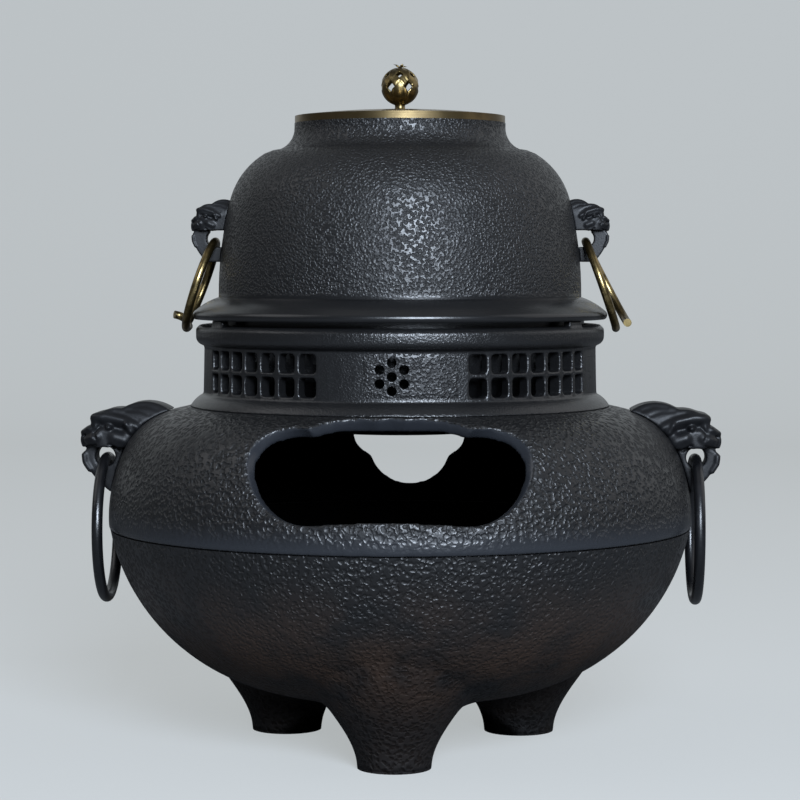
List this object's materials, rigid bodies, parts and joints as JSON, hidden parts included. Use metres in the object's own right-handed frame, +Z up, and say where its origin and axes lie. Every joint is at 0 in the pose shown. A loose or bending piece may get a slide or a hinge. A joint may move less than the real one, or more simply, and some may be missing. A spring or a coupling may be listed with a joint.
{
  "type": "charcoal tea stove",
  "caption": "Cast-iron charcoal brazier on low feet with ring handles, pierced neck and fire window, carrying an iron kettle with brass lid, knob and rings.",
  "frame": {"origin": "on the floor under the axis of the brazier", "axes": "+Z up along the axis of brazier and kettle, -Y towards the fire window, +X to the right ring handle"},
  "size_m": [0.3302, 0.3, 0.3505],
  "materials": {
    "cast_iron_skin": "rough",
    "cast_iron_smooth": "satin",
    "aged_brass": "satin",
    "satin_brass": "satin"
  },
  "bodies": {
    "stove": {"lower_bowl": "cast_iron_skin", "shoulder_shell": "cast_iron_skin", "neck_ring": "cast_iron_smooth", "left_stove_lug": "cast_iron_smooth", "right_stove_lug": "cast_iron_smooth", "stove_lug_rivets": "cast_iron_smooth"},
    "grate": {"fire_grate": "cast_iron_smooth"},
    "left_stove_ring_body": {"left_stove_ring": "cast_iron_smooth"},
    "right_stove_ring_body": {"right_stove_ring": "cast_iron_smooth"},
    "kettle": {"kettle_body": "cast_iron_skin", "left_kettle_lug": "cast_iron_smooth", "right_kettle_lug": "cast_iron_smooth"},
    "left_kettle_ring_body": {"left_kettle_ring": "aged_brass"},
    "right_kettle_ring_body": {"right_kettle_ring": "aged_brass"},
    "lid": {"lid_plate": "satin_brass", "lid_collar": "satin_brass", "knob_seat": "aged_brass", "knob_ball": "aged_brass", "knob_star": "aged_brass", "knob_stem": "aged_brass", "knob_nut": "aged_brass"}
  },
  "joints": [
    {"name": "kettle_lift", "type": "slide", "parent": "stove", "child": "kettle", "axis": [0, 0, 1], "range_m": [0, 0.12]},
    {"name": "lid_lift", "type": "slide", "parent": "kettle", "child": "lid", "axis": [0, 0, 1], "range_m": [0, 0.06]},
    {"name": "grate_lift", "type": "slide", "parent": "stove", "child": "grate", "axis": [0, 0, 1], "range_m": [0, 0.08]},
    {"name": "left_stove_ring_swing", "type": "hinge", "parent": "stove", "child": "left_stove_ring_body", "pos_m": [-0.1522, 0, 0.1488], "axis": [0, 1, 0], "range_deg": [-5, 100]},
    {"name": "right_stove_ring_swing", "type": "hinge", "parent": "stove", "child": "right_stove_ring_body", "pos_m": [0.1522, 0, 0.1488], "axis": [0, -1, 0], "range_deg": [-5, 100]},
    {"name": "left_kettle_ring_swing", "type": "hinge", "parent": "kettle", "child": "left_kettle_ring_body", "pos_m": [-0.0954, 0, 0.261], "axis": [0, 1, 0], "range_deg": [0, 70]},
    {"name": "right_kettle_ring_swing", "type": "hinge", "parent": "kettle", "child": "right_kettle_ring_body", "pos_m": [0.0954, 0, 0.261], "axis": [0, -1, 0], "range_deg": [0, 70]}
  ]
}
